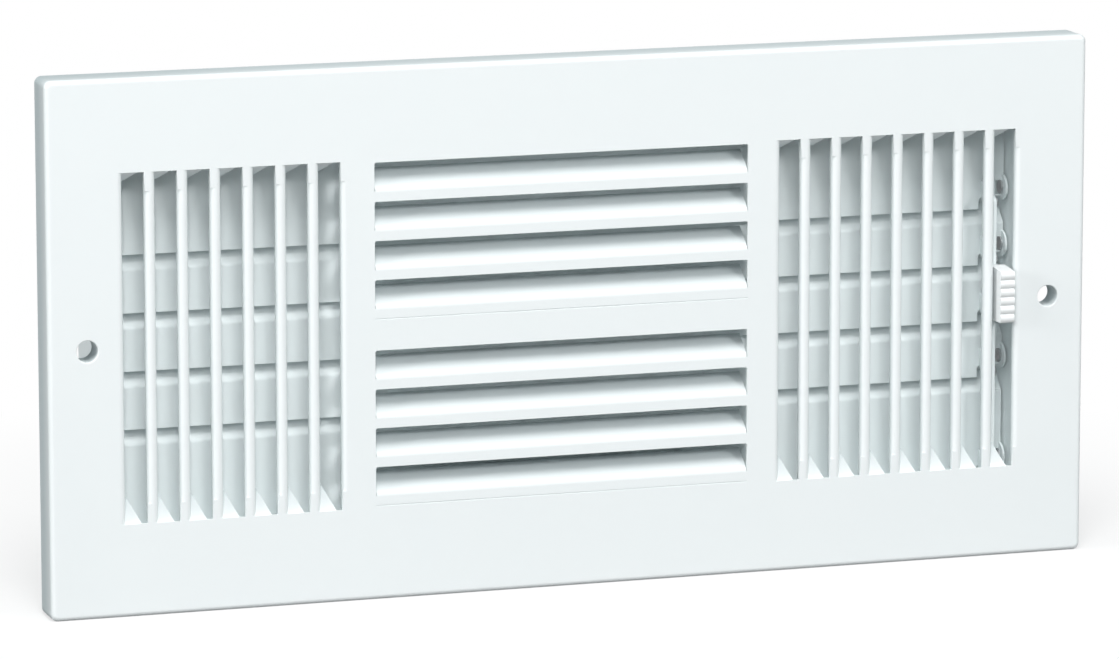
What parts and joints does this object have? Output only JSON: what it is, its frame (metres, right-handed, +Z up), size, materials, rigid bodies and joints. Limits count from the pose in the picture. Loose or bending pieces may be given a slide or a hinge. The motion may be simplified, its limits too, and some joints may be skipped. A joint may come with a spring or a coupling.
{
  "type": "supply register with damper",
  "caption": "White stamped-steel wall and ceiling register: side banks of upright fins, level centre louvres and a multi-blade damper worked by a ribbed thumb tab.",
  "frame": {"origin": "front of the face, midway between the two screw holes", "axes": "+X along the width, +Y back into the duct, +Z up"},
  "size_m": [0.4, 0.057, 0.1968],
  "materials": {
    "face_paint": "satin white baked enamel",
    "damper_paint": "thin satin off-white enamel",
    "pin_steel": "zinc plated",
    "tab_plastic": "moulded white"
  },
  "bodies": {
    "register": {"face_plate": "face_paint", "frame_top": "damper_paint", "frame_bottom": "damper_paint", "frame_left": "damper_paint", "frame_right": "damper_paint", "corner_rivets": "pin_steel"},
    "shutter_1": {"blade_1": "damper_paint", "pivot_pins_1": "pin_steel", "crank_pin_1": "pin_steel"},
    "shutter_2": {"blade_2": "damper_paint", "pivot_pins_2": "pin_steel", "crank_pin_2": "pin_steel"},
    "shutter_3": {"blade_3": "damper_paint", "pivot_pins_3": "pin_steel", "crank_pin_3": "pin_steel"},
    "shutter_4": {"blade_4": "damper_paint", "pivot_pins_4": "pin_steel", "crank_pin_4": "pin_steel"},
    "shutter_5": {"blade_5": "damper_paint", "pivot_pins_5": "pin_steel", "crank_pin_5": "pin_steel"},
    "link": {"tie_bar": "damper_paint", "thumb_tab": "tab_plastic"}
  },
  "joints": [
    {"name": "blade_3_swing", "type": "hinge", "parent": "register", "child": "shutter_3", "pos_m": [0, 0.018, -0.0035], "axis": [-1, 0, 0], "range_deg": [-4, 62]},
    {"name": "blade_1_swing", "type": "hinge", "parent": "register", "child": "shutter_1", "pos_m": [0, 0.018, 0.0394], "axis": [-1, 0, 0], "range_deg": [-5, 63]},
    {"name": "blade_2_swing", "type": "hinge", "parent": "register", "child": "shutter_2", "pos_m": [0, 0.018, 0.01795], "axis": [-1, 0, 0], "range_deg": [-5, 63]},
    {"name": "blade_4_swing", "type": "hinge", "parent": "register", "child": "shutter_4", "pos_m": [0, 0.018, -0.02495], "axis": [-1, 0, 0], "range_deg": [-5, 63]},
    {"name": "blade_5_swing", "type": "hinge", "parent": "register", "child": "shutter_5", "pos_m": [0, 0.018, -0.0636], "axis": [-1, 0, 0], "range_deg": [-5, 63]},
    {"name": "tie_bar_lift", "type": "hinge", "parent": "shutter_3", "child": "link", "pos_m": [0, 0.01021, -0.008], "axis": [-1, 0, 0], "range_deg": [-63, 5]}
  ],
  "couplings": [
    {"joint": "blade_1_swing", "follows": "blade_3_swing", "ratio": 1},
    {"joint": "blade_2_swing", "follows": "blade_3_swing", "ratio": 1},
    {"joint": "blade_4_swing", "follows": "blade_3_swing", "ratio": 1},
    {"joint": "blade_5_swing", "follows": "blade_3_swing", "ratio": 1},
    {"joint": "tie_bar_lift", "follows": "blade_3_swing", "ratio": -1}
  ]
}
